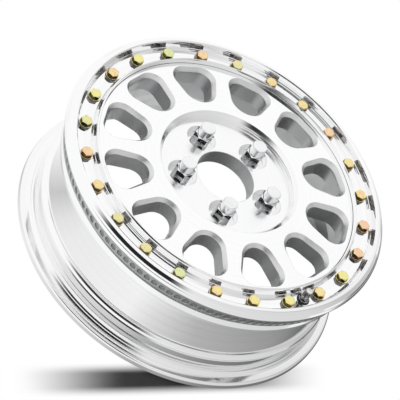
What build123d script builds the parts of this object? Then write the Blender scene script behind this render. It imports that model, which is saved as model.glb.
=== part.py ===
import os
from math import cos, radians, sin, tan

from build123d import *

# Beadlock wheel, lying face up on its inner rim flange.
# Z is the wheel's axis, and Z = 0 is the rear plane of that flange.
# Sizes are in millimetres, angles in degrees.

# Hub and lug wells
mount_drop = 11.5
hub_thickness = 20.5
bore_radius = 36.5
boss_margin = 18.85
boss_slope = 3.0
boss_height = 3.5
recess_depth = 11.1
recess_step = 1.8
recess_run = 5.5
lug_circle_radius = 57.15
lug_count = 5
lug_angle = 180.0
lug_well_radius = 18.5
lug_well_depth = 11.0
lug_seat_radius = 10.5
lug_seat_half_angle = 30.0
lug_hole_radius = 7.25

# Disc and windows
face_fall = 5.9
window_count = 12
window_foot_radius = 22.0
window_hub_land = 13.0
window_corner_radius = 18.0
window_taper_length = 17.5
window_corner_spread = 10.5
window_rim_land = 5.5
window_bevel = 4.0
window_bevel_share = 0.8

# Rim, from the ring's seat back to the inner flange
flange_radius = 206.7
seat_height = 130.0
shelf_inset = 0.55
shelf_depth = 18.0
clamp_flange_width = 6.25
clamp_flange_thickness = 6.0
well_inset = 22.3
well_width = 20.0
barrel_end_inset = 6.3
barrel_end_height = 44.0
hump_rise = 0.9
hump_height = 39.5
bead_seat_height = 35.0
bead_seat_taper = 5.0
flange_root_height = 16.0
flange_front_height = 10.2
flange_height = 16.4
flange_bevel = 3.6
flange_root_width = 3.6
flange_root_rise = 1.2
rim_wall = 6.0

# Beadlock ring
ring_clearance = 0.8
ring_floor = 9.4
ring_lip_height = 11.4
ring_inner_lip = 2.9
ring_lip_bevel = 1.1
ring_corner = 2.2
ring_outer_room = 1.7
ring_rim_step = 1.2
ring_crest_width = 5.6
ring_crest_fall = 0.7
ring_nose_width = 3.4
ring_nose_fall = 3.7
ring_nose_drop = 9.0
ring_band_inset = 1.2
ring_band_drop = 2.4
ring_skirt_inset = 6.2
ring_skirt_depth = 7.0
ring_grip_width = 3.8
ring_shelf_gap = 1.0

# Ring bolts and washers
bolt_inset = 9.75
bolt_count = 24
bolt_turn_step = 23.0
bolt_across_flats = 12.7
bolt_head_height = 5.2
bolt_head_bevel = 0.8
bolt_shank_radius = 3.9
bolt_shank_sides = 12
bolt_thread_length = 16.0
bolt_tip_room = 2.0
thread_clearance = 0.1
bolt_hole_clearance = 0.5
washer_radius = 8.7
washer_thickness = 1.6
washer_clearance = 0.35
washer_room = 0.4

# Lug nuts
nut_across_flats = 19.0
nut_corner_angles = (46.0, 25.0, 9.0, 56.0, 56.0)
nut_collar_rim = 0.5
nut_collar_height = 3.2
nut_hex_height = 12.4
nut_hex_bevel = 1.0
nut_tip_radius = 8.0
nut_tip_height = 16.2
nut_tip_bevel = 1.0
nut_thread_radius = 5.6
nut_end_wall = 9.0
nut_seat_gap = 0.1

# Valve
valve_inset = 1.0
valve_stem_radius = 4.2
valve_hole_clearance = 0.5
valve_head_radius = 7.5
valve_head_thickness = 2.6
valve_bore_radius = 2.6
valve_tip_radius = 3.85
valve_tip_length = 8.2
valve_tip_start = 1.0
seal_radius = 7.4
seal_thickness = 2.4
seal_clearance = 0.1
grommet_radius = 7.6
grommet_stand = 1.2
grommet_bevel = 0.8
grommet_gap = 0.3
valve_washer_radius = 6.6
valve_washer_thickness = 0.8
valve_nut_across_flats = 11.5
valve_nut_height = 3.6
valve_nut_bevel = 0.6
core_length = 17.0
core_sink = 1.0
core_clearance = 0.05
pin_radius = 0.75
pin_clearance = 0.08
pin_stand = 0.6
poppet_radius = 1.8
poppet_thickness = 1.6
cap_clearance = 0.2
cap_wall = 0.7
cap_skirt = 6.4
cap_roof = 1.2
cap_bevel = 0.8
cap_seal_thickness = 0.8
cap_seal_gap = 0.3

# Places that follow from the sizes above
bead_seat_radius = flange_radius - flange_height
hump_radius = bead_seat_radius + hump_rise
barrel_end_radius = bead_seat_radius - barrel_end_inset
well_radius = bead_seat_radius - well_inset
shelf_radius = bead_seat_radius - shelf_inset
bolt_circle_radius = shelf_radius - bolt_inset
mount_height = seat_height - mount_drop
disc_back_height = mount_height + boss_height
pad_height = mount_height + hub_thickness
face_height = pad_height + recess_depth
face_edge_height = face_height - face_fall
boss_radius = lug_circle_radius + boss_margin
lug_floor = pad_height - lug_well_depth
lug_seat_drop = (lug_seat_radius - lug_hole_radius) / tan(radians(lug_seat_half_angle))
clamp_flange_radius = shelf_radius + clamp_flange_width
clamp_flange_top = seat_height - shelf_depth
clamp_flange_back = clamp_flange_top - clamp_flange_thickness
well_bottom = clamp_flange_back - well_width
bead_seat_rise = (bead_seat_height - flange_root_height) * tan(radians(bead_seat_taper))
flange_root_radius = bead_seat_radius + bead_seat_rise
trough_floor = seat_height + ring_floor
ring_crest = trough_floor + ring_lip_height
trough_inner = bolt_circle_radius - washer_radius - washer_room - ring_corner
trough_outer = bolt_circle_radius + washer_radius + ring_outer_room + ring_corner
ring_bore = trough_inner - ring_inner_lip
ring_radius = flange_radius - ring_rim_step
ring_skirt_radius = ring_radius - ring_skirt_inset
pilot_radius = ring_bore - ring_clearance
window_corner_centre = pilot_radius - window_rim_land - window_corner_radius
window_foot_centre = window_corner_centre - window_taper_length
half_pitch = radians(180 / window_count)
spoke_axis_gap = window_corner_centre * sin(half_pitch) - window_corner_spread * cos(half_pitch)
spoke_half_width = spoke_axis_gap - window_corner_radius
recess_lip_radius = window_foot_centre - window_foot_radius - window_hub_land
recess_foot_radius = recess_lip_radius - recess_run
nose_height = ring_crest - ring_nose_drop
skirt_bottom = seat_height - ring_skirt_depth
bolt_seat = trough_floor + washer_thickness
bolt_tip = seat_height - bolt_thread_length
nut_collar_radius = lug_seat_radius + nut_collar_rim
nut_collar_base = lug_floor + nut_seat_gap
nut_hex_base = nut_collar_base + nut_collar_height
nut_tip_base = nut_hex_base + nut_hex_height
nut_top = nut_tip_base + nut_tip_height
nut_foot = nut_collar_base - lug_seat_drop
valve_hole_radius = valve_stem_radius + valve_hole_clearance
seal_bottom = clamp_flange_back - seal_thickness
valve_head_bottom = seal_bottom - valve_head_thickness
grommet_top = trough_floor + grommet_stand
valve_nut_base = grommet_top + valve_washer_thickness
valve_shoulder = valve_nut_base + valve_nut_height + valve_tip_start
valve_top = valve_shoulder + valve_tip_length
core_top = valve_top - core_sink
core_bottom = core_top - core_length
cap_bore = valve_tip_radius + cap_clearance
cap_ceiling = valve_top + cap_seal_gap + cap_seal_thickness
valve_place = (bolt_circle_radius - valve_inset, 0)

os.makedirs("parts", exist_ok=True)


def save(piece, name):
    piece.part.label = name
    export_step(piece.part, f"parts/{name}.step")


def level(height):
    return Plane.XY.offset(height)


def around(radius, count, start):
    return PolarLocations(radius, count, start_angle=start)


def bolt_places():
    return around(bolt_circle_radius, bolt_count, 180 / bolt_count)


def lug_places():
    return around(lug_circle_radius, lug_count, lug_angle)


def hexagon(across_flats, turn=0):
    return RegularPolygon(across_flats / 2, 6, major_radius=False, rotation=turn)


def shank_round(radius, mode=Mode.ADD):
    # Shanks and the holes round them are hidden and many, so they have flats in place of a true circle
    return RegularPolygon(radius, bolt_shank_sides, mode=mode)


# Wheel: a revolved section, then the windows, lug wells and holes
with BuildPart() as wheel:
    with BuildSketch(Plane.XZ):
        with BuildLine():
            Polyline(
                (bore_radius, mount_height),
                (bore_radius, pad_height),
                (recess_foot_radius, pad_height),
                (recess_foot_radius, pad_height + recess_step),
                (recess_foot_radius + recess_step, pad_height + recess_step),
                (recess_lip_radius, face_height),
                (pilot_radius, face_edge_height),
                (pilot_radius, seat_height),
                (shelf_radius, seat_height),
                (shelf_radius, clamp_flange_top),
                (clamp_flange_radius, clamp_flange_top),
                (clamp_flange_radius, clamp_flange_back),
                (well_radius, clamp_flange_back),
                (well_radius, well_bottom),
                (barrel_end_radius, barrel_end_height),
                (hump_radius, hump_height),
                (bead_seat_radius, bead_seat_height),
                (flange_root_radius, flange_root_height),
                (flange_root_radius + flange_root_width, flange_front_height + flange_root_rise),
                (flange_radius - flange_bevel, flange_front_height),
                (flange_radius, flange_front_height - flange_bevel),
                (flange_radius, flange_bevel),
                (flange_radius - flange_bevel, 0),
                (flange_root_radius, 0),
                (bead_seat_radius - rim_wall, flange_front_height),
                (bead_seat_radius - rim_wall, hump_height),
                (barrel_end_radius - rim_wall, barrel_end_height),
                (well_radius - rim_wall, well_bottom),
                (well_radius - rim_wall, disc_back_height),
                (boss_radius + boss_slope, disc_back_height),
                (boss_radius, mount_height),
                close=True,
            )
        make_face()
    revolve(axis=Axis.Z)

    # Windows: a hull of three rounds, with a bevel round the face side
    with BuildSketch(Plane.XY, mode=Mode.PRIVATE) as window:
        with Locations((window_foot_centre, 0)):
            Circle(window_foot_radius)
        with Locations(
            (window_corner_centre, window_corner_spread),
            (window_corner_centre, -window_corner_spread),
        ):
            Circle(window_corner_radius)
        make_hull()
    with BuildSketch(level(disc_back_height)):
        with around(0, window_count, 180 / window_count):
            add(window.sketch)
    extrude(amount=face_height - disc_back_height, mode=Mode.SUBTRACT)
    mid_disc = (disc_back_height + face_edge_height) / 2
    rims = wheel.edges(Select.LAST).filter_by(lambda edge: edge.bounding_box().min.Z > mid_disc)
    # The bevel leaves a land on the spoke where the windows come close together
    chamfer(rims, min(window_bevel, spoke_half_width * window_bevel_share))

    # Lug wells cut from the face's level down, conical seats and stud holes
    with BuildSketch(level(face_height)):
        with lug_places():
            Circle(lug_well_radius)
    extrude(amount=lug_floor - face_height, mode=Mode.SUBTRACT)
    with Locations((0, 0, lug_floor)):
        with lug_places():
            Cone(
                lug_hole_radius,
                lug_seat_radius,
                lug_seat_drop,
                align=(Align.CENTER, Align.CENTER, Align.MAX),
                mode=Mode.SUBTRACT,
            )
    with BuildSketch(level(mount_height)):
        with lug_places():
            Circle(lug_hole_radius)
    extrude(amount=lug_floor - mount_height, mode=Mode.SUBTRACT)

    # Tapped holes for the ring bolts, and the valve hole through to the air side
    with BuildSketch(level(seat_height)):
        with bolt_places():
            shank_round(bolt_shank_radius + thread_clearance)
    extrude(amount=-bolt_thread_length - bolt_tip_room, mode=Mode.SUBTRACT)
    with BuildSketch(level(seat_height)):
        with Locations(valve_place):
            Circle(valve_hole_radius)
    extrude(amount=clamp_flange_back - seat_height, mode=Mode.SUBTRACT)
save(wheel, "wheel")

# Beadlock ring: trough between two lips, outer side tapered down to the grip edge
with BuildPart() as beadlock_ring:
    with BuildSketch(Plane.XZ):
        with BuildLine():
            Polyline(
                (ring_bore, seat_height),
                (ring_bore, ring_crest - ring_lip_bevel),
                (ring_bore + ring_lip_bevel, ring_crest),
                (trough_inner - ring_lip_bevel / 2, ring_crest),
                (trough_inner, ring_crest - ring_lip_bevel),
                (trough_inner, trough_floor + ring_corner),
                (trough_inner + ring_corner, trough_floor),
                (trough_outer - ring_corner, trough_floor),
                (trough_outer, trough_floor + ring_corner),
                (trough_outer, ring_crest),
                (trough_outer + ring_crest_width, ring_crest - ring_crest_fall),
                (ring_radius - ring_nose_width, ring_crest - ring_nose_fall),
                (ring_radius, nose_height),
                (ring_radius - ring_band_inset, nose_height - ring_band_drop),
                (ring_skirt_radius, skirt_bottom),
                (ring_skirt_radius - ring_grip_width, skirt_bottom),
                (shelf_radius + ring_shelf_gap, seat_height),
                close=True,
            )
        make_face()
    revolve(axis=Axis.Z)
    with BuildSketch(level(seat_height)):
        with bolt_places():
            shank_round(bolt_shank_radius + bolt_hole_clearance)
        with Locations(valve_place):
            Circle(grommet_radius + grommet_gap)
    extrude(amount=ring_floor, mode=Mode.SUBTRACT)
save(beadlock_ring, "beadlock_ring")

# Ring washers, one under each bolt head
with BuildPart() as ring_washers:
    with BuildSketch(level(trough_floor)):
        with bolt_places():
            Circle(washer_radius)
            shank_round(bolt_shank_radius + washer_clearance, Mode.SUBTRACT)
    extrude(amount=washer_thickness)
save(ring_washers, "ring_washers")

# Ring bolts, each head left at its own turn
with BuildPart() as ring_bolts:
    for index, place in enumerate(bolt_places()):
        with BuildSketch(level(bolt_seat)):
            with Locations(place):
                hexagon(bolt_across_flats, index * bolt_turn_step)
        extrude(amount=bolt_head_height)
    crowns = ring_bolts.faces().group_by(Axis.Z)[-1]
    chamfer(crowns.edges(), bolt_head_bevel)
    with BuildSketch(level(bolt_seat)):
        with bolt_places():
            shank_round(bolt_shank_radius)
    extrude(amount=bolt_tip - bolt_seat)
save(ring_bolts, "ring_bolts")

# Lug nuts: conical seat and collar, hexagon, closed round tip, blind threaded hole
with BuildPart() as lug_nuts:
    for place in lug_places():
        with BuildSketch(Plane(place.position, x_dir=(1, 0, 0), z_dir=(0, -1, 0))):
            with BuildLine():
                Polyline(
                    (nut_thread_radius, nut_foot),
                    (lug_hole_radius, nut_foot),
                    (lug_seat_radius, nut_collar_base),
                    (nut_collar_radius, nut_collar_base),
                    (nut_collar_radius, nut_hex_base),
                    (nut_tip_radius, nut_hex_base),
                    (nut_tip_radius, nut_top - nut_tip_bevel),
                    (nut_tip_radius - nut_tip_bevel, nut_top),
                    (0, nut_top),
                    (0, nut_top - nut_end_wall),
                    (nut_thread_radius, nut_top - nut_end_wall),
                    close=True,
                )
            make_face()
        revolve(axis=Axis(place.position, (0, 0, 1)))
    with BuildSketch(level(nut_hex_base)):
        for place, turn in zip(lug_places(), nut_corner_angles):
            with Locations(place.position):
                hexagon(nut_across_flats, turn)
                Circle(nut_thread_radius, mode=Mode.SUBTRACT)
    extrude(amount=nut_hex_height)
    flats = lug_nuts.faces().filter_by(GeomType.PLANE)
    for shoulder in flats.filter_by(lambda face: abs(face.center().Z - nut_tip_base) < nut_hex_bevel):
        chamfer(shoulder.outer_wire().edges(), nut_hex_bevel)
save(lug_nuts, "lug_nuts")

# Valve stem: head on the air side, plain body through the flange, thinner end for the cap
with BuildPart() as valve_stem:
    for radius, bottom, top in (
        (valve_head_radius, valve_head_bottom, seal_bottom),
        (valve_stem_radius, seal_bottom, valve_shoulder),
        (valve_tip_radius, valve_shoulder, valve_top),
    ):
        with BuildSketch(level(bottom)):
            with Locations(valve_place):
                Circle(radius)
                Circle(valve_bore_radius, mode=Mode.SUBTRACT)
        extrude(amount=top - bottom)
save(valve_stem, "valve_stem")


def valve_ring(outer, inner, bottom, top, bevel=0):
    # A plain ring round the stem, with its upper outer edge bevelled
    with BuildPart() as ring:
        with BuildSketch(level(bottom)):
            with Locations(valve_place):
                Circle(outer)
                Circle(inner, mode=Mode.SUBTRACT)
        extrude(amount=top - bottom)
        if bevel:
            chamfer(ring.faces().sort_by(Axis.Z)[-1].outer_wire().edges(), bevel)
    return ring


stem_fit = valve_stem_radius + seal_clearance
save(valve_ring(seal_radius, stem_fit, seal_bottom, clamp_flange_back), "valve_seal")
save(valve_ring(grommet_radius, stem_fit, seat_height, grommet_top, grommet_bevel), "valve_grommet")
save(valve_ring(valve_washer_radius, stem_fit, grommet_top, valve_nut_base), "valve_washer")
core_radius = valve_bore_radius - core_clearance
pin_fit = pin_radius + pin_clearance
save(valve_ring(core_radius, pin_fit, core_bottom, core_top), "valve_core")

with BuildPart() as valve_nut:
    with BuildSketch(level(valve_nut_base)):
        with Locations(valve_place):
            hexagon(valve_nut_across_flats)
            Circle(stem_fit, mode=Mode.SUBTRACT)
    extrude(amount=valve_nut_height)
    chamfer(valve_nut.faces().sort_by(Axis.Z)[-1].outer_wire().edges(), valve_nut_bevel)
save(valve_nut, "valve_nut")

# Valve pin: a rod through the core with the poppet that closes against the core's lower end
with BuildPart() as valve_pin:
    with BuildSketch(level(core_bottom)):
        with Locations(valve_place):
            Circle(poppet_radius)
    extrude(amount=-poppet_thickness)
    with BuildSketch(level(core_bottom)):
        with Locations(valve_place):
            Circle(pin_radius)
    extrude(amount=core_length + pin_stand)
save(valve_pin, "valve_pin")

# Valve cap and the rubber disc under its roof
with BuildPart() as valve_cap:
    with BuildSketch(level(valve_top - cap_skirt)):
        with Locations(valve_place):
            Circle(cap_bore + cap_wall)
    extrude(amount=cap_ceiling + cap_roof - valve_top + cap_skirt)
    chamfer(valve_cap.faces().sort_by(Axis.Z)[-1].edges(), cap_bevel)
    with BuildSketch(level(valve_top - cap_skirt)):
        with Locations(valve_place):
            Circle(cap_bore)
    extrude(amount=cap_ceiling - valve_top + cap_skirt, mode=Mode.SUBTRACT)
save(valve_cap, "valve_cap")

with BuildPart() as cap_seal:
    with BuildSketch(level(cap_ceiling - cap_seal_thickness)):
        with Locations(valve_place):
            Circle(cap_bore - seal_clearance)
    extrude(amount=cap_seal_thickness)
save(cap_seal, "cap_seal")
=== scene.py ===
from math import atan2, cos, hypot, pi, radians, sin, tan

import bmesh
import bpy
from mathutils import Matrix, Quaternion, Vector


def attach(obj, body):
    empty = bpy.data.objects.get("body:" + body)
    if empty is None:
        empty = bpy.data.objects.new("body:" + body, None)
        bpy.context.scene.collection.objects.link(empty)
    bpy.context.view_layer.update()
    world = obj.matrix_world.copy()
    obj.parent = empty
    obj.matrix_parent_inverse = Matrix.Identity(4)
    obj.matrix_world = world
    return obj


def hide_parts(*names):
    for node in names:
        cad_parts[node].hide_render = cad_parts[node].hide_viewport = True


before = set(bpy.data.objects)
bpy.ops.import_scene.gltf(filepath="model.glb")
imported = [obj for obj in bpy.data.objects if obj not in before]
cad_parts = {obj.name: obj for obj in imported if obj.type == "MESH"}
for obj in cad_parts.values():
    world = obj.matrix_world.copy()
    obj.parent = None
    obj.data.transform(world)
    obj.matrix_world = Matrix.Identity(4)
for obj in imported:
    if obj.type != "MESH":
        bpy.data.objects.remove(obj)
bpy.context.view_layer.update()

mm = 0.001
fullTurn = 2 * pi
smallRound = 0.5  # rounds up to this radius get two segments
weldGap, sliverEdge = 0.003, 0.001  # points this close are joined, and edges this short are dissolved
white, black = (1.0, 1.0, 1.0), (0.0, 0.0, 0.0)
scene = bpy.context.scene
print("frame loaded:", ", ".join(sorted(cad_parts)))


# Small helpers for meshes

def vertsIn(geom):
    return [item for item in geom if isinstance(item, bmesh.types.BMVert)]


def edgesIn(geom):
    return [item for item in geom if isinstance(item, bmesh.types.BMEdge)]


def facesIn(geom):
    return [item for item in geom if isinstance(item, bmesh.types.BMFace)]


def turnMesh(bm, angle):
    bmesh.ops.rotate(bm, verts=bm.verts[:], cent=(0, 0, 0), matrix=Matrix.Rotation(angle, 3, "Z"))


def joinPart(bm, part):
    mesh = bpy.data.meshes.new("part")
    part.to_mesh(mesh)
    part.free()
    bm.from_mesh(mesh)
    bpy.data.meshes.remove(mesh)


def copyRound(bm, part, count, centre=(0, 0, 0)):
    # the part and its copies, evenly spaced round the axis
    sweep = fullTurn * (count - 1) / count
    bmesh.ops.spin(part, geom=part.verts[:] + part.edges[:] + part.faces[:], cent=centre, axis=(0, 0, 1),
                   angle=sweep, steps=count - 1, use_duplicate=True)
    joinPart(bm, part)


def roundCorner(bm, point, radius, segments):
    before, after = (edge.other_vert(point).co - point.co for edge in point.link_edges)
    offset = radius * mm * tan((pi - before.angle(after)) / 2)
    bmesh.ops.bevel(bm, geom=[point], offset=offset, offset_type="OFFSET", segments=segments, profile=0.5,
                    affect="VERTICES", clamp_overlap=True, material=-1)


def drawLine(bm, corners, closed, segments):
    # corners are (radius, height) or (radius, height, round) in the XZ plane
    points = [bm.verts.new((corner[0] * mm, 0, corner[1] * mm)) for corner in corners]
    following = points[1:] + points[:1] if closed else points[1:]
    for first, second in zip(points, following):
        bm.edges.new((first, second))
    for point, corner in zip(points, corners):
        if len(corner) == 3:
            roundCorner(bm, point, corner[2], segments if corner[2] > smallRound else 2)


def turnLine(bm, corners, steps, material=0, closed=False, segments=4):
    # one lathe cut: a line of corners spun once round the axis
    part = bmesh.new()
    drawLine(part, corners, closed, segments)
    bmesh.ops.spin(part, geom=part.verts[:] + part.edges[:], cent=(0, 0, 0), axis=(0, 0, 1),
                   angle=fullTurn, steps=steps, use_merge=True)
    for face in part.faces:
        face.material_index = material
    joinPart(bm, part)


def cutSector(inner, outer, sweep, steps, sideCuts):
    # a strip spun through a sector, with its middle taken out, so that only its edge loop is left
    part = bmesh.new()
    ends = [part.verts.new((end[0] * mm, 0, end[1] * mm)) for end in (inner, outer)]
    bmesh.ops.subdivide_edges(part, edges=[part.edges.new(ends)], cuts=sideCuts)
    bmesh.ops.spin(part, geom=part.verts[:] + part.edges[:], cent=(0, 0, 0), axis=(0, 0, 1),
                   angle=sweep, steps=steps)
    bmesh.ops.delete(part, geom=part.faces[:], context="FACES_KEEP_BOUNDARY")
    turnMesh(part, -sweep / 2)
    return rememberHome(part)


def rememberHome(part):
    # each point keeps the place on the first loop that it was pulled from
    home = part.verts.layers.float_vector.new("home")
    for point in part.verts:
        point[home] = point.co / mm
    return part, part.edges[:]


def pullLoop(part, loop, place, material=0):
    # extrude a loop of edges and carry each new point to its place, in millimetres
    home = part.verts.layers.float_vector["home"]
    made = bmesh.ops.extrude_edge_only(part, edges=loop)["geom"]
    points = set(vertsIn(made))
    for point in points:
        point.co = Vector(place(point[home])) * mm
    for face in facesIn(made):
        face.material_index = material
    return [edge for edge in edgesIn(made) if points.issuperset(edge.verts)]


def stackLoops(part, loop, levels, centre=(0, 0), material=0):
    # levels are (radius, height), or a function of the angle that gives both
    for level in levels:
        def place(home):
            angle = atan2(home[1] - centre[1], home[0] - centre[0])
            radius, height = level(angle) if callable(level) else level
            return centre[0] + radius * cos(angle), centre[1] + radius * sin(angle), height
        loop = pullLoop(part, loop, place, material)
    return loop


def circleLoop(radius, height, segments):
    part = bmesh.new()
    bmesh.ops.create_circle(part, cap_ends=False, radius=radius * mm, segments=segments)
    bmesh.ops.translate(part, verts=part.verts[:], vec=(0, 0, height * mm))
    return rememberHome(part)


def finishPiece(bm, name, node, materials, sharp=32, bevelWidth=0):
    bmesh.ops.remove_doubles(bm, verts=bm.verts[:], dist=weldGap * mm)
    bmesh.ops.dissolve_degenerate(bm, edges=bm.edges[:], dist=sliverEdge * mm)
    bmesh.ops.recalc_face_normals(bm, faces=bm.faces[:])
    for layer in bm.verts.layers.float_vector.values():
        bm.verts.layers.float_vector.remove(layer)
    mesh = bpy.data.meshes.new(name)
    bm.to_mesh(mesh)
    bm.free()
    mesh.shade_smooth()
    mesh.set_sharp_from_angle(angle=radians(sharp))
    for material in materials:
        mesh.materials.append(material)
    piece = bpy.data.objects.new(name, mesh)
    scene.collection.objects.link(piece)
    if bevelWidth:
        bevel = piece.modifiers.new("edgeBreak", "BEVEL")
        bevel.width = bevelWidth * mm
        bevel.segments = 2
        bevel.limit_method = "ANGLE"
        bevel.angle_limit = radians(sharp)
    weighted = piece.modifiers.new("flatNormals", "WEIGHTED_NORMAL")
    weighted.keep_sharp = True
    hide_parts(node)
    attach(piece, "cap_body" if node == "valve_cap" else "wheel_body")
    print("piece", name, "has", len(mesh.polygons), "faces")


# Shader helpers and the node groups that several finishes share

def addNode(tree, kind, values=None, **settings):
    node = tree.nodes.new(kind)
    for key, value in settings.items():
        setattr(node, key, value)
    for socket, value in (values or {}).items():
        if isinstance(value, bpy.types.NodeSocket):
            tree.links.new(value, node.inputs[socket])
        else:
            node.inputs[socket].default_value = value
    return node


def mathOut(tree, operation, first, second=0.0):
    return addNode(tree, "ShaderNodeMath", {0: first, 1: second}, operation=operation).outputs[0]


def rangeOut(tree, value, low, high, toLow=0.0, toHigh=1.0):
    return addNode(tree, "ShaderNodeMapRange",
                   {"Value": value, "From Min": low, "From Max": high, "To Min": toLow, "To Max": toHigh},
                   interpolation_type="SMOOTHSTEP").outputs[0]


def newGroup(name, inputs, outputs):
    tree = bpy.data.node_groups.new(name, "ShaderNodeTree")
    for label, kind, value in inputs:
        socket = tree.interface.new_socket(label, in_out="INPUT", socket_type=kind)
        if value is not None:
            socket.default_value = value
    for label, kind in outputs:
        tree.interface.new_socket(label, in_out="OUTPUT", socket_type=kind)
    return tree, tree.nodes.new("NodeGroupInput").outputs, tree.nodes.new("NodeGroupOutput").inputs


markShape = {
    # lathe rings: lines to the metre, how much height counts beside radius, and how much coarser the broad rings are
    "pitch": 900.0, "heightShare": 1.31, "broadShare": 0.22, "streakRange": (0.32, 0.68),
    # smudges to the metre, and how much finer the specks are
    "smudgeSize": 22.0, "smudgeRange": (0.42, 0.72), "speckShare": 40.0, "speckRange": (0.60, 0.74),
}


def buildToolMarks():
    # fine rings left by the lathe tool, from the distance to the axis and the height
    tree, source, result = newGroup("toolMarks", [
        ("Vector", "NodeSocketVector", None), ("Pitch", "NodeSocketFloat", markShape["pitch"])],
        [("Height", "NodeSocketFloat"), ("Streak", "NodeSocketFloat")])
    split = addNode(tree, "ShaderNodeSeparateXYZ", {0: source["Vector"]})
    flat = addNode(tree, "ShaderNodeCombineXYZ", {0: split.outputs[0], 1: split.outputs[1]})
    radius = addNode(tree, "ShaderNodeVectorMath", {0: flat.outputs[0]}, operation="LENGTH").outputs["Value"]
    along = mathOut(tree, "ADD", radius, mathOut(tree, "MULTIPLY", split.outputs[2], markShape["heightShare"]))
    fine = addNode(tree, "ShaderNodeTexNoise", {"W": along, "Scale": source["Pitch"], "Detail": 1.5},
                   noise_dimensions="1D")
    tree.links.new(fine.outputs[0], result["Height"])
    broadPitch = mathOut(tree, "MULTIPLY", source["Pitch"], markShape["broadShare"])
    broad = addNode(tree, "ShaderNodeTexNoise", {"W": along, "Scale": broadPitch, "Detail": 2.0},
                    noise_dimensions="1D")
    tree.links.new(rangeOut(tree, broad.outputs[0], *markShape["streakRange"]), result["Streak"])
    return tree


def buildHandling():
    # faint cloudy smudges and a few darker specks
    tree, source, result = newGroup("handlingMarks", [
        ("Vector", "NodeSocketVector", None), ("Size", "NodeSocketFloat", markShape["smudgeSize"])],
        [("Smudge", "NodeSocketFloat"), ("Speck", "NodeSocketFloat")])
    cloud = addNode(tree, "ShaderNodeTexNoise",
                    {"Vector": source["Vector"], "Scale": source["Size"], "Detail": 5.0, "Distortion": 0.6})
    tree.links.new(rangeOut(tree, cloud.outputs[0], *markShape["smudgeRange"]), result["Smudge"])
    speckSize = mathOut(tree, "MULTIPLY", source["Size"], markShape["speckShare"])
    grain = addNode(tree, "ShaderNodeTexNoise", {"Vector": source["Vector"], "Scale": speckSize, "Detail": 2.0})
    tree.links.new(rangeOut(tree, grain.outputs[0], *markShape["speckRange"]), result["Speck"])
    return tree


toolMarks = buildToolMarks()
handlingMarks = buildHandling()


def newFinish(name, metallic):
    material = bpy.data.materials.new(name)
    material.use_nodes = True
    tree = material.node_tree
    shader = tree.nodes["Principled BSDF"]
    shader.inputs["Metallic"].default_value = metallic
    place = addNode(tree, "ShaderNodeTexCoord").outputs["Object"]
    return material, tree, shader.inputs, place


def placeGroup(tree, group, values):
    return addNode(tree, "ShaderNodeGroup", values, node_tree=group).outputs


def blendColours(tree, factor, first, second):
    node = addNode(tree, "ShaderNodeMix", {0: factor}, data_type="RGBA")
    for socket, value in ((6, first), (7, second)):
        if isinstance(value, bpy.types.NodeSocket):
            tree.links.new(value, node.inputs[socket])
        else:
            node.inputs[socket].default_value = (*value, 1)
    return node.outputs[2]


def rampOut(tree, value, stops):
    # stops are (position, grey) or (position, colour)
    ramp = addNode(tree, "ShaderNodeValToRGB", {0: value})
    elements = ramp.color_ramp.elements
    for position, colour in stops[1:-1]:
        elements.new(position)
    for element, (position, colour) in zip(elements, stops):
        element.position = position
        element.color = (*colour, 1) if isinstance(colour, tuple) else (colour, colour, colour, 1)
    return ramp.outputs[0]


def addBump(tree, sockets, height, strength, distance):
    bump = addNode(tree, "ShaderNodeBump", {"Height": height, "Strength": strength, "Distance": distance * mm})
    tree.links.new(bump.outputs[0], sockets["Normal"])


metalWear = {"turnedSmudges": 18.0, "smudgeShare": 0.25, "roughShare": 0.35, "ringDepth": 0.02, "grainDepth": 0.03}


def turnedMetal(name, bright, dull, rough, pitch, bump, metallic=1.0):
    # aluminium cut on a lathe: rings of slightly different brightness and roughness, and light smudges
    material, tree, sockets, place = newFinish(name, metallic)
    marks = placeGroup(tree, toolMarks, {"Vector": place, "Pitch": pitch})
    handled = placeGroup(tree, handlingMarks, {"Vector": place, "Size": metalWear["turnedSmudges"]})
    ringed = blendColours(tree, marks["Streak"], dull, bright)
    faint = mathOut(tree, "MULTIPLY", handled["Smudge"], metalWear["smudgeShare"])
    tree.links.new(blendColours(tree, faint, ringed, dull), sockets["Base Color"])
    extra = rough[1] - rough[0]
    spread = mathOut(tree, "MULTIPLY", marks["Streak"], extra)
    worn = mathOut(tree, "MULTIPLY", handled["Smudge"], metalWear["roughShare"] * extra)
    tree.links.new(mathOut(tree, "ADD", mathOut(tree, "ADD", spread, worn), rough[0]), sockets["Roughness"])
    addBump(tree, sockets, marks["Height"], bump, metalWear["ringDepth"])
    return material


def grainFinish(name, pale, deep, rough, size, bump, metallic=1.0):
    # metal without lathe rings, or rubber: a fine even grain with cloudy patches
    material, tree, sockets, place = newFinish(name, metallic)
    handled = placeGroup(tree, handlingMarks, {"Vector": place, "Size": size})
    tree.links.new(blendColours(tree, handled["Smudge"], pale, deep), sockets["Base Color"])
    tree.links.new(rangeOut(tree, handled["Smudge"], 0.0, 1.0, *rough), sockets["Roughness"])
    addBump(tree, sockets, handled["Speck"], bump, metalWear["grainDepth"])
    return material


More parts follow.
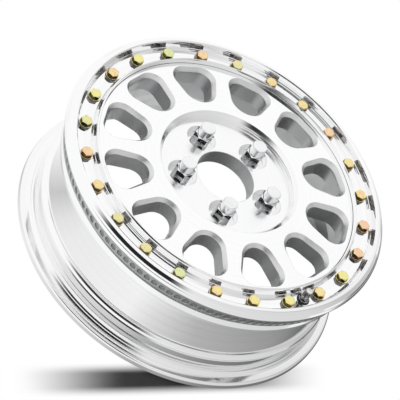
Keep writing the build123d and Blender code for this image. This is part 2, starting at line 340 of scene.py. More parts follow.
zincLook = {
    "boltAngle": 15.0, "filmSize": 240.0, "speckSize": 60.0, "speckShare": 0.25, "rough": (0.14, 0.26),
    "tints": ((0.0, (0.93, 0.78, 0.36)), (0.18, (0.93, 0.72, 0.36)), (0.28, (0.92, 0.60, 0.42)),
              (0.36, (0.92, 0.56, 0.46)), (0.46, (0.92, 0.72, 0.32)), (0.64, (0.93, 0.86, 0.34)),
              (0.80, (0.78, 0.83, 0.42)), (0.90, (0.60, 0.74, 0.44)), (1.0, (0.92, 0.82, 0.36))),
    # painted shade: the dark olive range and its soft edge colour the lower sides of bolts and washers
    "speckColour": (0.46, 0.34, 0.14), "paintedShadeRange": ((0.05, 0.03, 0.012), (0.22, 0.16, 0.05)), "paintedShadeEdge": 0.3,
    # painted reflection: the dark grey the bolts take when seen in polished metal
    "paintedReflectionColour": (0.20, 0.20, 0.205), "paintedReflectionShare": 0.85, "bump": 0.15, "bumpDepth": 0.02,
}


def zincPlate(name, paintedShadeBelow):
    # yellow zinc: each bolt has its own tint, and a thin film of pink and green runs over it
    material, tree, sockets, place = newFinish(name, 1.0)
    split = addNode(tree, "ShaderNodeSeparateXYZ", {0: place})
    angle = mathOut(tree, "ARCTAN2", split.outputs[1], split.outputs[0])
    cell = mathOut(tree, "FLOOR", mathOut(tree, "DIVIDE", angle, radians(zincLook["boltAngle"])))
    own = addNode(tree, "ShaderNodeTexWhiteNoise", {"W": cell}, noise_dimensions="1D").outputs["Value"]
    film = addNode(tree, "ShaderNodeTexNoise",
                   {"Vector": place, "Scale": zincLook["filmSize"], "Detail": 1.5, "Distortion": 1.2}).outputs[0]
    tint = rampOut(tree, mathOut(tree, "FRACT", mathOut(tree, "ADD", own, film)), zincLook["tints"])
    handled = placeGroup(tree, handlingMarks, {"Vector": place, "Size": zincLook["speckSize"]})
    specks = mathOut(tree, "MULTIPLY", handled["Speck"], zincLook["speckShare"])
    dulled = blendColours(tree, specks, tint, zincLook["speckColour"])
    # painted shade: below the given height the sides are coloured dark olive, standing in for their shade and dark
    # reflections; the top keeps its tint
    low = rangeOut(tree, split.outputs[2], (paintedShadeBelow - zincLook["paintedShadeEdge"]) * mm, paintedShadeBelow * mm, 1.0, 0.0)
    plateAndPaintedShade = blendColours(tree, low, dulled, blendColours(tree, film, *zincLook["paintedShadeRange"]))
    # painted reflection: seen in polished metal, the bolts are coloured dark grey, standing in for their shaded sides
    rays = addNode(tree, "ShaderNodeLightPath").outputs
    mirrored = mathOut(tree, "MULTIPLY", rays["Is Glossy Ray"], zincLook["paintedReflectionShare"])
    tree.links.new(blendColours(tree, mirrored, plateAndPaintedShade, zincLook["paintedReflectionColour"]), sockets["Base Color"])
    tree.links.new(rangeOut(tree, handled["Smudge"], 0.0, 1.0, *zincLook["rough"]), sockets["Roughness"])
    addBump(tree, sockets, handled["Speck"], zincLook["bump"], zincLook["bumpDepth"])
    return material


faceMetal = turnedMetal("machinedFace", (0.985, 0.985, 0.99), (0.965, 0.965, 0.97), (0.08, 0.13), 1500.0, 0.008)
padMetal = turnedMetal("lugPad", (0.975, 0.975, 0.98), (0.95, 0.95, 0.955), (0.17, 0.25), 1500.0, 0.015)
bevelMetal = turnedMetal("machinedBevel", (0.78, 0.78, 0.785), (0.72, 0.72, 0.725), (0.28, 0.38), 1500.0, 0.06)
wallMetal = grainFinish("windowWall", (0.66, 0.665, 0.67), (0.60, 0.605, 0.61), (0.42, 0.52), 26.0, 0.06, 0.6)
insideMetal = grainFinish("barrelInside", (0.66, 0.665, 0.67), (0.60, 0.605, 0.61), (0.36, 0.46), 16.0, 0.08, 0.7)
barrelMetal = turnedMetal("polishedBarrel", (0.955, 0.955, 0.96), (0.935, 0.935, 0.94), (0.07, 0.12), 700.0, 0.006)
recessMetal = turnedMetal("recessWall", (0.955, 0.955, 0.96), (0.935, 0.935, 0.94), (0.11, 0.16), 700.0, 0.006)
ringMetal = turnedMetal("polishedRing", (0.965, 0.965, 0.97), (0.945, 0.945, 0.95), (0.03, 0.06), 900.0, 0.008)
# painted shade: the pit floors and the pitted band are darker than the polished ring, standing in for the shade in
# the pits and the shadowed floor the band mirrors; the band's satin grain is its own
pitFloorPaintedShade = grainFinish("pitFloorPaintedShade", (0.34, 0.345, 0.35), (0.30, 0.305, 0.31), (0.32, 0.40), 60.0, 0.03)
bandPaintedShade = grainFinish("satinBandPaintedShade", (0.52, 0.525, 0.53), (0.47, 0.475, 0.48), (0.26, 0.34), 60.0, 0.02)
wellMetal = grainFinish("lugWell", (0.93, 0.93, 0.935), (0.89, 0.89, 0.895), (0.08, 0.14), 40.0, 0.03)
seatMetal = grainFinish("clampSeat", (0.80, 0.805, 0.81), (0.74, 0.745, 0.75), (0.42, 0.52), 30.0, 0.06, 0.3)
# painted shade: the nuts' hexagons take this darker copy of the bright chrome on their tips
hexChromePaintedShade = grainFinish("hexChromePaintedShade", (0.64, 0.645, 0.65), (0.58, 0.585, 0.59), (0.05, 0.10), 40.0, 0.03)
chromeMetal = grainFinish("brightChrome", (0.90, 0.905, 0.91), (0.84, 0.845, 0.85), (0.03, 0.07), 40.0, 0.03)
darkNickel = grainFinish("darkNickel", (0.34, 0.34, 0.345), (0.24, 0.24, 0.245), (0.08, 0.16), 70.0, 0.06)
nickelMetal = grainFinish("nickelPlate", (0.80, 0.79, 0.77), (0.70, 0.69, 0.67), (0.10, 0.20), 70.0, 0.06)
brassMetal = grainFinish("plainBrass", (0.80, 0.60, 0.28), (0.68, 0.50, 0.22), (0.18, 0.30), 70.0, 0.08)
# painted shade: below these heights the sides of the bolts and washers are coloured dark olive
boltZinc = zincPlate("boltZinc", 145.5)
washerZinc = zincPlate("washerZinc", 140.8)
blackRubber = grainFinish("blackRubber", (0.012, 0.012, 0.013), (0.035, 0.035, 0.036), (0.38, 0.58), 90.0, 0.3, 0.0)
print("finishes ready:", len(bpy.data.materials))


# Wheel: spun rim, hub recess, bore and boss, twelve window sectors, five lug sectors

wheelShape = {
    "steps": 360,
    "lipRadius": 89.0, "lipHeight": 150.1, "pilotRadius": 165.0, "pilotFoot": 135.0, "faceFall": 5.9,
    "faceRange": (90.0, 164.0), "faceRound": 0.25, "backRange": (80.0, 161.0), "backHeight": 122.0,
    "windowCount": 12, "windowSideCuts": 17, "windowCentre": 132.0, "windowTangents": 720,
    "windowRounds": ((124.0, 0.0, 18.0), (141.5, 10.5, 14.0), (141.5, -10.5, 14.0)),
    # depth of the bevel and height of the window's back edge, at its inner and outer ends
    "windowEnds": (106.0, 155.5), "bevelDrop": (3.6, 6.0), "backEdge": (125.4, 117.6),
    # loops from the face to the back: distance outside the wall, share of the bevel's depth or None at the back,
    # height over the back edge, share of the way from the edge of the sector, finish
    "windowLoops": ((4.3, 0.0, None, 0.5, "face"), (4.3, 0.0, None, 1, "face"), (3.95, 0.03, None, 1, "bevel"),
                    (0.3, 0.94, None, 1, "bevel"), (0.05, 1.03, None, 1, "bevel"), (0.0, 1.15, None, 1, "wall"),
                    (0.0, None, 0.6, 1, "wall"), (0.15, None, 0.15, 1, "wall"), (0.6, None, 0.0, 1, "wall")),
    "lugCount": 5, "lugAngle": 180.0, "lugCircle": 57.15, "lugSideCuts": 15,
    "padRange": (37.3, 82.6), "padHeight": 139.0, "mountRange": (37.3, 75.5), "mountHeight": 118.5,
    "lugLevels": ((18.9, 139.0), (18.58, 138.85), (18.5, 138.5), (18.5, 128.7), (18.3, 128.2), (17.8, 128.0),
                  (10.9, 128.0), (10.45, 127.8), (7.25, 122.37), (7.25, 119.1), (7.7, 118.5)),
    # lathe lines: (radius, height) or (radius, height, round)
    "recess": ((82.6, 139.0), (83.5, 139.0, 0.5), (83.5, 141.8, 0.2), (84.2, 142.4, 0.15), (84.4, 144.0, 0.15),
               (85.0, 144.6, 0.15), (85.2, 146.0, 0.3), (89.0, 150.1, 0.15)),
    "bore": ((37.3, 139.0), (36.9, 139.0, 0.3), (36.5, 138.5, 0.3), (36.5, 119.1, 0.3), (37.0, 118.5, 0.3),
             (37.3, 118.5)),
    "boss": ((75.5, 118.5), (76.0, 118.5, 0.4), (79.0, 122.0, 1.2), (80.0, 122.0)),
    "seat": ((165.0, 135.0), (165.0, 130.0, 0.4), (189.75, 130.0, 0.5), (189.75, 116.5, 0.8), (192.4, 114.8)),
    "rim": ((192.4, 114.8), (193.0, 114.2, 0.5), (195.9, 109.4, 0.8), (196.0, 106.0, 0.8), (168.0, 106.0, 3.5),
            (168.0, 86.0, 14.0), (184.0, 44.0, 1.6), (187.0, 43.2, 5.0), (189.6, 41.1, 3.0), (191.2, 38.9, 0.6),
            (190.3, 35.0, 1.4), (190.8, 27.6, 0.1), (191.4, 27.15, 0.1), (191.2, 25.6, 0.2), (191.4, 21.5, 0.1),
            (191.9, 21.12, 0.1), (191.7, 19.8, 0.2), (191.9, 16.0, 0.6), (193.9, 14.5, 0.4), (194.4, 13.7, 0.3),
            (196.6, 12.0, 0.8), (206.7, 10.3, 4.2), (206.7, 2.8, 2.2), (203.1, 0.0, 1.0), (202.0, 0.0)),
    "rear": ((202.0, 0.0), (191.96, 0.0, 1.6), (184.3, 10.2, 3.0), (184.3, 39.5, 3.0), (178.0, 44.0, 3.0),
             (162.0, 86.0, 10.0), (162.0, 122.0, 0.9), (161.0, 122.0)),
}
wheelFinishes = {"face": faceMetal, "bevel": bevelMetal, "wall": wallMetal, "inside": insideMetal,
                 "barrel": barrelMetal, "well": wellMetal, "seat": seatMetal, "pad": padMetal, "recess": recessMetal}
wheelSlots = {finish: index for index, finish in enumerate(wheelFinishes)}


def faceHeight(radius):
    fall = wheelShape["faceFall"] / (wheelShape["pilotRadius"] - wheelShape["lipRadius"])
    return wheelShape["lipHeight"] - fall * (radius - wheelShape["lipRadius"])


def shiftRange(radius, fromRange, toRange):
    share = (radius - fromRange[0]) / (fromRange[1] - fromRange[0])
    return toRange[0] + share * (toRange[1] - toRange[0])


def outlineEdges(grow):
    # straight edges that touch the outline drawn round the window's three rounds, one for each small turn
    edges = []
    for step in range(wheelShape["windowTangents"]):
        angle = step * fullTurn / wheelShape["windowTangents"]
        nx, ny = cos(angle), sin(angle)
        edges.append((nx, ny, grow + max(nx * x + ny * y + r for x, y, r in wheelShape["windowRounds"])))
    return edges


def outlinePlace(home, edges):
    # where the ray from the window's middle towards home meets the outline: edges nearly along the ray can't be it
    centre = wheelShape["windowCentre"]
    dx, dy = home[0] - centre, home[1]
    size = hypot(dx, dy)
    dx, dy = dx / size, dy / size
    reach = min((far - nx * centre) / (nx * dx + ny * dy) for nx, ny, far in edges if nx * dx + ny * dy > 0.1)
    return centre + reach * dx, reach * dy


def closeBack(part, loop, frontRange, backRange, height, finish):
    # from the hole's back edge out to the edge of the sector, which has other radii at the back
    def place(home):
        radius, angle = hypot(home[0], home[1]), atan2(home[1], home[0])
        radius = shiftRange(radius, frontRange, backRange)
        return radius * cos(angle), radius * sin(angle), height
    pullLoop(part, loop, place, wheelSlots[finish])


def addWindows(bm):
    sweep = fullTurn / wheelShape["windowCount"]
    ends = [(radius, faceHeight(radius)) for radius in wheelShape["faceRange"]]
    steps = wheelShape["steps"] // wheelShape["windowCount"]
    part, loop = cutSector(*ends, sweep, steps, wheelShape["windowSideCuts"])
    for grow, drop, lift, share, finish in wheelShape["windowLoops"]:
        edges = outlineEdges(grow)

        def place(home):
            x, y = outlinePlace(home, edges)
            x, y = home[0] + share * (x - home[0]), home[1] + share * (y - home[1])
            radius = hypot(x, y)
            if drop is None:
                return x, y, shiftRange(radius, wheelShape["windowEnds"], wheelShape["backEdge"]) + lift
            depth = shiftRange(radius, wheelShape["windowEnds"], wheelShape["bevelDrop"])
            return x, y, faceHeight(radius) - drop * depth
        loop = pullLoop(part, loop, place, wheelSlots[finish])
    closeBack(part, loop, wheelShape["faceRange"], wheelShape["backRange"], wheelShape["backHeight"], "inside")
    turnMesh(part, sweep / 2)
    copyRound(bm, part, wheelShape["windowCount"])


def addLugWells(bm):
    sweep = fullTurn / wheelShape["lugCount"]
    ends = [(radius, wheelShape["padHeight"]) for radius in wheelShape["padRange"]]
    steps = wheelShape["steps"] // wheelShape["lugCount"]
    part, loop = cutSector(*ends, sweep, steps, wheelShape["lugSideCuts"])
    rim, *well = wheelShape["lugLevels"]
    for levels, finish in (((rim,), "pad"), (well, "well")):
        loop = stackLoops(part, loop, levels, (wheelShape["lugCircle"], 0), wheelSlots[finish])
    closeBack(part, loop, wheelShape["padRange"], wheelShape["mountRange"], wheelShape["mountHeight"], "face")
    turnMesh(part, radians(wheelShape["lugAngle"]))
    copyRound(bm, part, wheelShape["lugCount"])


def buildWheel():
    bm = bmesh.new()
    steps = wheelShape["steps"]
    addWindows(bm)
    addLugWells(bm)
    inner, outer = wheelShape["faceRange"]
    pilot, pilotFoot = wheelShape["pilotRadius"], wheelShape["pilotFoot"]
    faceEdge = ((outer, faceHeight(outer)), (pilot, faceHeight(pilot), wheelShape["faceRound"]), (pilot, pilotFoot))
    lines = ((wheelShape["recess"] + ((inner, faceHeight(inner)),), "recess", 4), (wheelShape["bore"], "wall", 4),
             (wheelShape["boss"], "face", 4), (faceEdge, "face", 4), (wheelShape["seat"], "seat", 4),
             (wheelShape["rim"], "barrel", 5), (wheelShape["rear"], "inside", 4))
    for line, finish, segments in lines:
        turnLine(bm, line, steps, wheelSlots[finish], segments=segments)
    finishPiece(bm, "wheelCasting", "wheel", wheelFinishes.values())


buildWheel()


# Beadlock ring: spun section, with a row of pits let into its tapered side

ringShape = {
    "pitCount": 124, "pitSteps": 5, "pitSideCuts": 3, "pitLine": ((204.0, 138.4), (199.8, 124.6)), "pitSquash": 0.7,
    # half width, half height, depth and finish of each loop of a pit
    "pitLevels": ((3.75, 6.1, 0.0, "band"), (3.6, 5.9, 0.2, "band"), (3.2, 5.4, 1.3, "pit"), (1.6, 2.9, 1.7, "pit"),
                  (0.0, 0.0, 1.8, "pit")),
    "side": ((205.5, 141.6), (205.3, 140.5, 0.5), (204.3, 139.4, 0.4), (204.0, 138.4)),
    "skirt": ((199.8, 124.6), (199.3, 123.0, 0.6), (195.5, 123.0, 0.8), (190.75, 130.0, 0.6), (165.3, 130.0, 0.4),
              (165.3, 140.0)),
    "section": ((165.3, 140.0), (165.3, 143.4, 0.1), (165.9, 150.2, 0.3), (166.5, 150.8, 0.3), (168.2, 149.55, 0.3),
                (168.7, 148.6, 0.4), (169.9, 143.2, 0.2), (170.1, 143.1, 0.05), (170.6, 142.7, 0.1),
                (170.65, 141.4, 0.1), (171.2, 140.95, 0.1), (171.3, 139.4, 0.2), (188.4, 139.4, 0.3),
                (188.9, 140.0, 0.1), (189.7, 140.6, 0.1), (189.9, 142.0, 0.1), (190.6, 142.55, 0.1),
                (190.8, 142.8, 0.1), (192.8, 149.8, 0.15), (193.6, 150.45, 0.1), (193.85, 150.7, 0.1),
                (194.3, 150.35, 0.05), (194.45, 150.6, 0.1), (198.2, 150.1, 3.0), (202.1, 147.1, 1.2),
                (203.45, 145.1, 0.1), (203.95, 144.72, 0.1), (205.5, 142.2, 1.0), (205.5, 141.6)),
}
# the band and pit finishes carry painted shade
ringFinishes = {"polish": ringMetal, "band": bandPaintedShade, "pit": pitFloorPaintedShade}
ringSlots = {finish: index for index, finish in enumerate(ringFinishes)}


def buildRing():
    bm = bmesh.new()
    steps = ringShape["pitCount"] * ringShape["pitSteps"]
    turnLine(bm, ringShape["section"], steps, ringSlots["polish"], segments=6)
    for name in ("side", "skirt"):
        turnLine(bm, ringShape[name], steps, ringSlots["band"])
    top, low = (Vector((radius, 0, height)) for radius, height in ringShape["pitLine"])
    part, loop = cutSector(*ringShape["pitLine"], fullTurn / ringShape["pitCount"], ringShape["pitSteps"],
                           ringShape["pitSideCuts"])
    middle = (top + low) / 2
    down = (low - top).normalized()
    outward = Vector((-down.z, 0, down.x))
    for wide, tall, depth, finish in ringShape["pitLevels"]:
        def place(home):
            away = Vector(home) - middle
            angle = atan2(away.dot(down) * ringShape["pitSquash"], away.y)
            return middle + Vector((0, wide * cos(angle), 0)) + down * tall * sin(angle) - outward * depth
        loop = pullLoop(part, loop, place, ringSlots[finish])
    copyRound(bm, part, ringShape["pitCount"])
    finishPiece(bm, "beadRing", "beadlock_ring", ringFinishes.values())


buildRing()


# Ring bolts and washers

boltShape = {
    "count": 24, "circle": 180.0, "start": 7.5, "turnStep": 23.0, "segments": 36,
    "flats": 12.7, "seat": 141.0, "top": 146.2, "crown": 5.9, "crownRing": 5.0, "edge": 0.25, "shank": 3.9,
    "tip": 114.0,
}
hexTurn = 30  # degrees from the middle of a hexagon's side to its corner, and the slope of its chamfer


def hexReach(angle, flats):
    # distance from the middle of a hexagon to its side, with a corner at hexTurn
    turned = (angle + pi / 6) % (pi / 3) - pi / 6
    return flats / 2 / cos(turned)


def hexCrown(flats, crown, top):
    # the scalloped edge that a chamfer leaves on a hexagon
    slope = tan(radians(hexTurn))
    return lambda angle: (hexReach(angle, flats), top - max(hexReach(angle, flats) - crown, 0.0) * slope)


def buildBolts():
    bm = bmesh.new()
    flats, seat, top, edge = (boltShape[name] for name in ("flats", "seat", "top", "edge"))
    for index in range(boltShape["count"]):
        part, loop = circleLoop(boltShape["shank"], boltShape["tip"], boltShape["segments"])
        bmesh.ops.contextual_create(part, geom=loop)
        stackLoops(part, loop, (
            (boltShape["shank"], seat),
            lambda angle: (hexReach(angle, flats) - edge, seat),
            lambda angle: (hexReach(angle, flats), seat + edge),
            hexCrown(flats, boltShape["crown"], top),
            (boltShape["crown"], top), (boltShape["crownRing"], top), (0.0, top)))
        turnMesh(part, radians(hexTurn + index * boltShape["turnStep"]))
        bmesh.ops.translate(part, verts=part.verts[:], vec=(boltShape["circle"] * mm, 0, 0))
        turnMesh(part, radians(boltShape["start"] + 360 / boltShape["count"] * index))
        joinPart(bm, part)
    finishPiece(bm, "ringBolts", "ring_bolts", (boltZinc,), 28, 0.12)


washerShape = {"section": ((4.25, 139.4), (8.0, 139.4, 0.35), (8.0, 141.0, 0.45), (4.25, 141.0)), "segments": 36}


def buildWashers():
    part = bmesh.new()
    turnLine(part, washerShape["section"], washerShape["segments"], closed=True)
    bmesh.ops.translate(part, verts=part.verts[:], vec=(boltShape["circle"] * mm, 0, 0))
    turnMesh(part, radians(boltShape["start"]))
    full = bmesh.new()
    copyRound(full, part, boltShape["count"])
    finishPiece(full, "ringWashers", "ring_washers", (washerZinc,), 40)


buildBolts()
buildWashers()


# Lug nuts: blind thread, conical seat, collar, hexagon, round closed tip

nutShape = {
    # compass angle of a corner of each nut, and its hexagon with a flared base
    "corners": (46.0, 25.0, 9.0, 56.0, 56.0), "segments": 48, "flats": 19.0, "hexBase": 131.0, "hexTop": 147.0,
    "crown": 9.45, "baseReach": 10.2, "flareReach": 10.0, "flareSlope": 0.7, "flareLift": 0.1,
    "foot": ((5.6, 150.9), (5.6, 123.3), (6.2, 122.5), (7.15, 122.5), (10.4, 128.0), (10.95, 128.2), (11.05, 128.6),
             (11.05, 130.4), (10.7, 131.0)),
    "tip": ((9.4, 147.0), (9.2, 147.15), (9.2, 158.5), (9.1, 159.1), (8.75, 159.6), (8.2, 159.85), (7.4, 159.9),
            (0.0, 159.9)),
}


def flaredBase(angle):
    reach = hexReach(angle, nutShape["flats"])
    flare = max(reach - nutShape["flareReach"], 0.0) * nutShape["flareSlope"]
    return reach, nutShape["hexBase"] + flare + nutShape["flareLift"]


def buildNuts():
    bm = bmesh.new()
    flats, (ceiling, *foot) = nutShape["flats"], nutShape["foot"]
    for index, corner in enumerate(nutShape["corners"]):
        part, loop = circleLoop(*ceiling, nutShape["segments"])
        bmesh.ops.contextual_create(part, geom=loop)
        # the hexagon takes the darker chrome, a painted shade
        loop = stackLoops(part, loop, (
            *foot, lambda angle: (min(hexReach(angle, flats), nutShape["baseReach"]), nutShape["hexBase"]),
            flaredBase, hexCrown(flats, nutShape["crown"], nutShape["hexTop"])), material=1)
        stackLoops(part, loop, nutShape["tip"])
        turnMesh(part, radians(corner - hexTurn))
        place = radians(wheelShape["lugAngle"] + 360 / wheelShape["lugCount"] * index)
        offset = Vector((cos(place), sin(place), 0)) * wheelShape["lugCircle"] * mm
        bmesh.ops.translate(part, verts=part.verts[:], vec=offset)
        joinPart(bm, part)
    finishPiece(bm, "lugNuts", "lug_nuts", (chromeMetal, hexChromePaintedShade), 28, 0.15)


buildNuts()


# Valve: grommet, washer, nut and fluted cap on the stem

valveSeat = {"radius": 179.0, "segments": 48}
grommetShape = ((4.3, 130.0), (7.6, 130.0), (7.6, 139.3, 0.2), (7.85, 139.45, 0.1), (7.75, 140.6, 0.55), (4.3, 140.6))
valveWasherShape = ((4.3, 140.6), (6.2, 140.6, 0.15), (6.2, 141.4, 0.2), (4.3, 141.4))


def placeValve(bm):
    bmesh.ops.translate(bm, verts=bm.verts[:], vec=(valveSeat["radius"] * mm, 0, 0))
    return bm


def buildValveRing(name, node, section, material):
    bm = bmesh.new()
    turnLine(bm, section, valveSeat["segments"], closed=True)
    finishPiece(placeValve(bm), name, node, (material,), 40)


valveNutShape = {
    "flats": 10.4, "bore": 4.3, "base": 141.4, "top": 145.0, "crown": 4.9, "edge": 0.2,
    "inside": ((4.8, 145.0), (4.5, 145.0), (4.3, 144.7), (4.3, 141.4)),
}


def buildValveNut():
    flats, base, edge = (valveNutShape[name] for name in ("flats", "base", "edge"))
    part, loop = circleLoop(valveNutShape["bore"], base, valveSeat["segments"])
    stackLoops(part, loop, (
        lambda angle: (hexReach(angle, flats) - edge, base),
        lambda angle: (hexReach(angle, flats), base + edge),
        hexCrown(flats, valveNutShape["crown"], valveNutShape["top"]), *valveNutShape["inside"]))
    finishPiece(placeValve(part), "valveNut", "valve_nut", (darkNickel,), 28, 0.08)


capShape = {
    "segments": 96, "ceiling": (4.05, 155.3), "radius": 4.75, "flutes": 16, "fluteDepth": 0.22,
    "foot": ((4.05, 147.8), (4.5, 147.8), (4.75, 148.05), (4.75, 148.6)), "fluteEnds": (148.9, 154.8),
    "head": ((4.75, 155.1), (4.75, 155.6), (4.63, 156.0), (4.3, 156.35), (3.85, 156.5)),
    "dimple": ((3.0, 156.5), (2.8, 156.3), (0.0, 156.3)),
}


def fluted(height):
    def level(angle):
        cut = capShape["fluteDepth"] * (0.5 + 0.5 * cos(capShape["flutes"] * angle))
        return capShape["radius"] - cut, height
    return level


def buildCap():
    part, loop = circleLoop(*capShape["ceiling"], capShape["segments"])
    bmesh.ops.contextual_create(part, geom=loop)
    flutes = tuple(fluted(height) for height in capShape["fluteEnds"])
    loop = stackLoops(part, loop, capShape["foot"] + flutes + capShape["head"])
    # painted highlight: the top dimple takes bright nickel while the rest of the cap is dark nickel, lit and shaded
    # copies of one metal
    stackLoops(part, loop, capShape["dimple"], material=1)
    finishPiece(placeValve(part), "valveCap", "valve_cap", (darkNickel, nickelMetal), 40)


buildValveRing("valveGrommet", "valve_grommet", grommetShape, blackRubber)
buildValveRing("valveWasher", "valve_washer", valveWasherShape, nickelMetal)
buildValveNut()
buildCap()

# solids that keep their own shape and get the same finishes
plainNodes = {"valve_stem": nickelMetal, "valve_core": brassMetal, "valve_pin": brassMetal,
              "valve_seal": blackRubber, "cap_seal": blackRubber}
for node, material in plainNodes.items():
    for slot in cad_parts[node].material_slots:
        slot.material = material


# Studio: white floor and dome that are darker on one side, a dark panel overhead and a soft lamp

studio = {
    "floorSize": 40.0, "floorColour": (0.90, 0.90, 0.90), "stripPaintedShadow": (0.30, 0.30, 0.30),
    # the strip of floor that keeps the lamp's shadow, darkened there with a painted shadow: two directions, and where
    # the strip begins and ends along each
    "stripAcross": (0.9694, -0.2453, 0.0), "stripRows": (0.174, 0.2055), "stripSoft": 0.008,
    "stripAlong": (-0.5402, -0.8415, 0.0), "stripColumns": (-0.13, 0.135), "columnSoft": 0.075,
    # brightness by compass angle, as the floor and the dome show in polished metal
    "floor": ((-180, 1.0), (-160, 0.98), (-148, 0.80), (-135, 0.60), (-122, 0.80), (-110, 0.88), (-60, 0.92),
              (-45, 0.70), (-20, 0.46), (0, 0.40), (20, 0.33), (40, 0.22), (60, 0.14), (75, 0.13), (84, 0.2),
              (90, 0.75), (110, 0.9), (130, 1.0), (180, 1.0)),
    # painted shadow: share of that light taken away close to the wheel, on its shaded side
    "shade": ((-180, 0.0), (-105, 0.0), (-75, 0.25), (-50, 0.45), (-20, 0.5), (10, 0.6), (60, 0.6), (110, 0.0),
              (180, 0.0)),
    "shadeReach": (0.20, 0.31), "farReach": (0.8, 1.8), "farShade": 0.95,
    "dome": ((-180, 1.0), (-60, 1.0), (-40, 0.88), (-20, 0.80), (0, 0.75), (25, 0.72), (45, 0.70), (65, 0.55),
             (80, 0.60), (95, 0.85), (110, 1.0), (180, 1.0)),
    "crownRise": (0.86, 0.97),  # the top of the dome is white all round
    "panelAngle": (-117.0, -36.0), "panelFoot": (37.0, 43.0), "panelHead": (64.0, 68.0), "panelShade": 0.02,
    "panelSoft": 0.033, "panelLean": 0.7, "panelMiddle": -70.0, "mattLight": 0.12,
    "lampPlace": (-1.6, 1.3, 2.4), "lampSize": 0.6, "lampPower": 115.0,
}


def compassOut(tree, direction):
    # angle round the axis, as 0 to 1 from -180 to 180 degrees, and the height
    split = addNode(tree, "ShaderNodeSeparateXYZ", {0: direction}).outputs
    turned = mathOut(tree, "DIVIDE", mathOut(tree, "ARCTAN2", split[1], split[0]), fullTurn)
    return mathOut(tree, "ADD", turned, 0.5), split[2]


def compassShare(angle):
    return 0.5 + angle / 360


def compassRamp(tree, angle, stops):
    return rampOut(tree, angle, tuple((compassShare(stop), level) for stop, level in stops))


def bandOut(tree, value, low, high, soft):
    # 1 between low and high, 0 outside, with soft ends
    return mathOut(tree, "MULTIPLY", rangeOut(tree, value, low - soft, low + soft),
                   rangeOut(tree, value, high - soft, high + soft, 1.0, 0.0))


def buildDome():
    world = bpy.data.worlds.new("studioDome")
    scene.world = world
    world.use_nodes = True
    tree = world.node_tree
    tree.nodes.clear()
    angle, rise = compassOut(tree, addNode(tree, "ShaderNodeTexCoord").outputs["Generated"])
    dome = compassRamp(tree, angle, studio["dome"])
    crowned = blendColours(tree, rangeOut(tree, rise, *studio["crownRise"]), dome, white)
    ends = [compassShare(end) for end in studio["panelAngle"]]
    foot, head = ([sin(radians(end)) for end in studio[name]] for name in ("panelFoot", "panelHead"))
    # the panel's foot is higher at one end
    offset = mathOut(tree, "SUBTRACT", angle, compassShare(studio["panelMiddle"]))
    leaning = mathOut(tree, "ADD", rise, mathOut(tree, "MULTIPLY", offset, studio["panelLean"]))
    height = mathOut(tree, "MULTIPLY", rangeOut(tree, leaning, *foot), rangeOut(tree, rise, *head, 1.0, 0.0))
    panel = mathOut(tree, "MULTIPLY", bandOut(tree, angle, *ends, studio["panelSoft"]), height)
    shaded = blendColours(tree, panel, crowned, (studio["panelShade"],) * 3)
    # matt surfaces get an even light from the dome, and the rest of it from the lamp
    rays = addNode(tree, "ShaderNodeLightPath").outputs
    scattered = mathOut(tree, "MINIMUM", rays["Diffuse Depth"], 1.0)
    lit = blendColours(tree, scattered, shaded, (studio["mattLight"],) * 3)
    background = addNode(tree, "ShaderNodeBackground",
                         {"Color": blendColours(tree, rays["Is Camera Ray"], lit, white)})
    addNode(tree, "ShaderNodeOutputWorld", {0: background.outputs[0]})


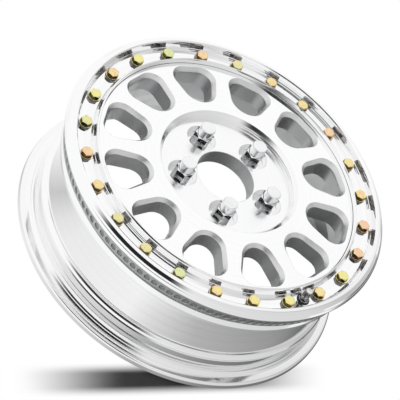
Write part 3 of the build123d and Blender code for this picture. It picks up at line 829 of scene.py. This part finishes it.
def buildFloor():
    bm = bmesh.new()
    bmesh.ops.create_grid(bm, x_segments=1, y_segments=1, size=studio["floorSize"] / 2)
    mesh = bpy.data.meshes.new("studioFloor")
    bm.to_mesh(mesh)
    bm.free()
    floor = bpy.data.objects.new("studioFloor", mesh)
    scene.collection.objects.link(floor)
    material = bpy.data.materials.new("paleFloor")
    material.use_nodes = True
    tree = material.node_tree
    tree.nodes.clear()
    place = addNode(tree, "ShaderNodeTexCoord").outputs["Object"]
    angle = compassOut(tree, place)[0]
    reach = addNode(tree, "ShaderNodeVectorMath", {0: place}, operation="LENGTH").outputs["Value"]
    # painted shadow: the floor's glow seen in polished metal is darkened near the wheel on its shaded side
    shade = mathOut(tree, "MULTIPLY", compassRamp(tree, angle, studio["shade"]),
                    rangeOut(tree, reach, *studio["shadeReach"], 1.0, 0.0))
    distant = rangeOut(tree, reach, *studio["farReach"])
    around = blendColours(tree, distant, compassRamp(tree, angle, studio["floor"]), (studio["farShade"],) * 3)
    mirrored = blendColours(tree, shade, around, black)
    rays = addNode(tree, "ShaderNodeLightPath").outputs
    glow = addNode(tree, "ShaderNodeEmission",
                   {"Color": blendColours(tree, rays["Is Camera Ray"], mirrored, white)})
    # polished metal sees the floor's glow, unless the light has met a matt surface before
    mirrors = mathOut(tree, "MAXIMUM", rays["Is Glossy Ray"], rays["Is Transmission Ray"])
    mirrors = mathOut(tree, "MULTIPLY", mirrors, mathOut(tree, "LESS_THAN", rays["Diffuse Depth"], 0.5))
    across, along = (addNode(tree, "ShaderNodeVectorMath", {0: place, 1: studio[name]},
                             operation="DOT_PRODUCT").outputs["Value"] for name in ("stripAcross", "stripAlong"))
    strip = mathOut(tree, "MULTIPLY", bandOut(tree, across, *studio["stripRows"], studio["stripSoft"]),
                    bandOut(tree, along, *studio["stripColumns"], studio["columnSoft"]))
    # painted shadow: inside the strip the matt floor takes a dark grey, over and above the lamp's own shadow
    matt = addNode(tree, "ShaderNodeBsdfDiffuse",
                   {"Color": blendColours(tree, strip, studio["floorColour"], studio["stripPaintedShadow"])})
    watched = mathOut(tree, "MULTIPLY", rays["Is Camera Ray"], mathOut(tree, "SUBTRACT", 1.0, strip))
    share = mathOut(tree, "MAXIMUM", mirrors, watched)
    mixed = addNode(tree, "ShaderNodeMixShader", {0: share, 1: matt.outputs[0], 2: glow.outputs[0]})
    # a camera below the floor looks through it
    below = addNode(tree, "ShaderNodeMixShader", {
        0: addNode(tree, "ShaderNodeNewGeometry").outputs["Backfacing"], 1: mixed.outputs[0],
        2: addNode(tree, "ShaderNodeBsdfTransparent").outputs[0]})
    addNode(tree, "ShaderNodeOutputMaterial", {0: below.outputs[0]})
    mesh.materials.append(material)


def buildLamp():
    light = bpy.data.lights.new("softLamp", "AREA")
    light.energy = studio["lampPower"]
    light.size = studio["lampSize"]
    lamp = bpy.data.objects.new("softLamp", light)
    lamp.location = studio["lampPlace"]
    lamp.rotation_mode = "QUATERNION"
    lamp.rotation_quaternion = (-Vector(studio["lampPlace"])).to_track_quat("-Z", "Y")
    lamp.visible_glossy = False  # the dome alone shows in the polished metal
    scene.collection.objects.link(lamp)


cameraSetup = {
    "place": (1.17072, -1.99775, 2.28388), "aim": (-0.0092, -0.0003, 0.080), "lean": 36.018,
    "lens": 243.04, "sensor": 36.0, "farEnd": 100.0,
}


def buildCamera():
    data = bpy.data.cameras.new("photoCamera")
    data.lens = cameraSetup["lens"]
    data.sensor_width = cameraSetup["sensor"]
    data.clip_end = cameraSetup["farEnd"]
    camera = bpy.data.objects.new("photoCamera", data)
    camera.location = cameraSetup["place"]
    towards = Vector(cameraSetup["aim"]) - Vector(cameraSetup["place"])
    camera.rotation_mode = "QUATERNION"
    camera.rotation_quaternion = (towards.to_track_quat("-Z", "Y")
                                  @ Quaternion((0, 0, 1), radians(cameraSetup["lean"])))
    scene.collection.objects.link(camera)
    scene.camera = camera


buildDome()
buildFloor()
buildLamp()
buildCamera()
scene.view_settings.view_transform = "Standard"
print("studio ready")
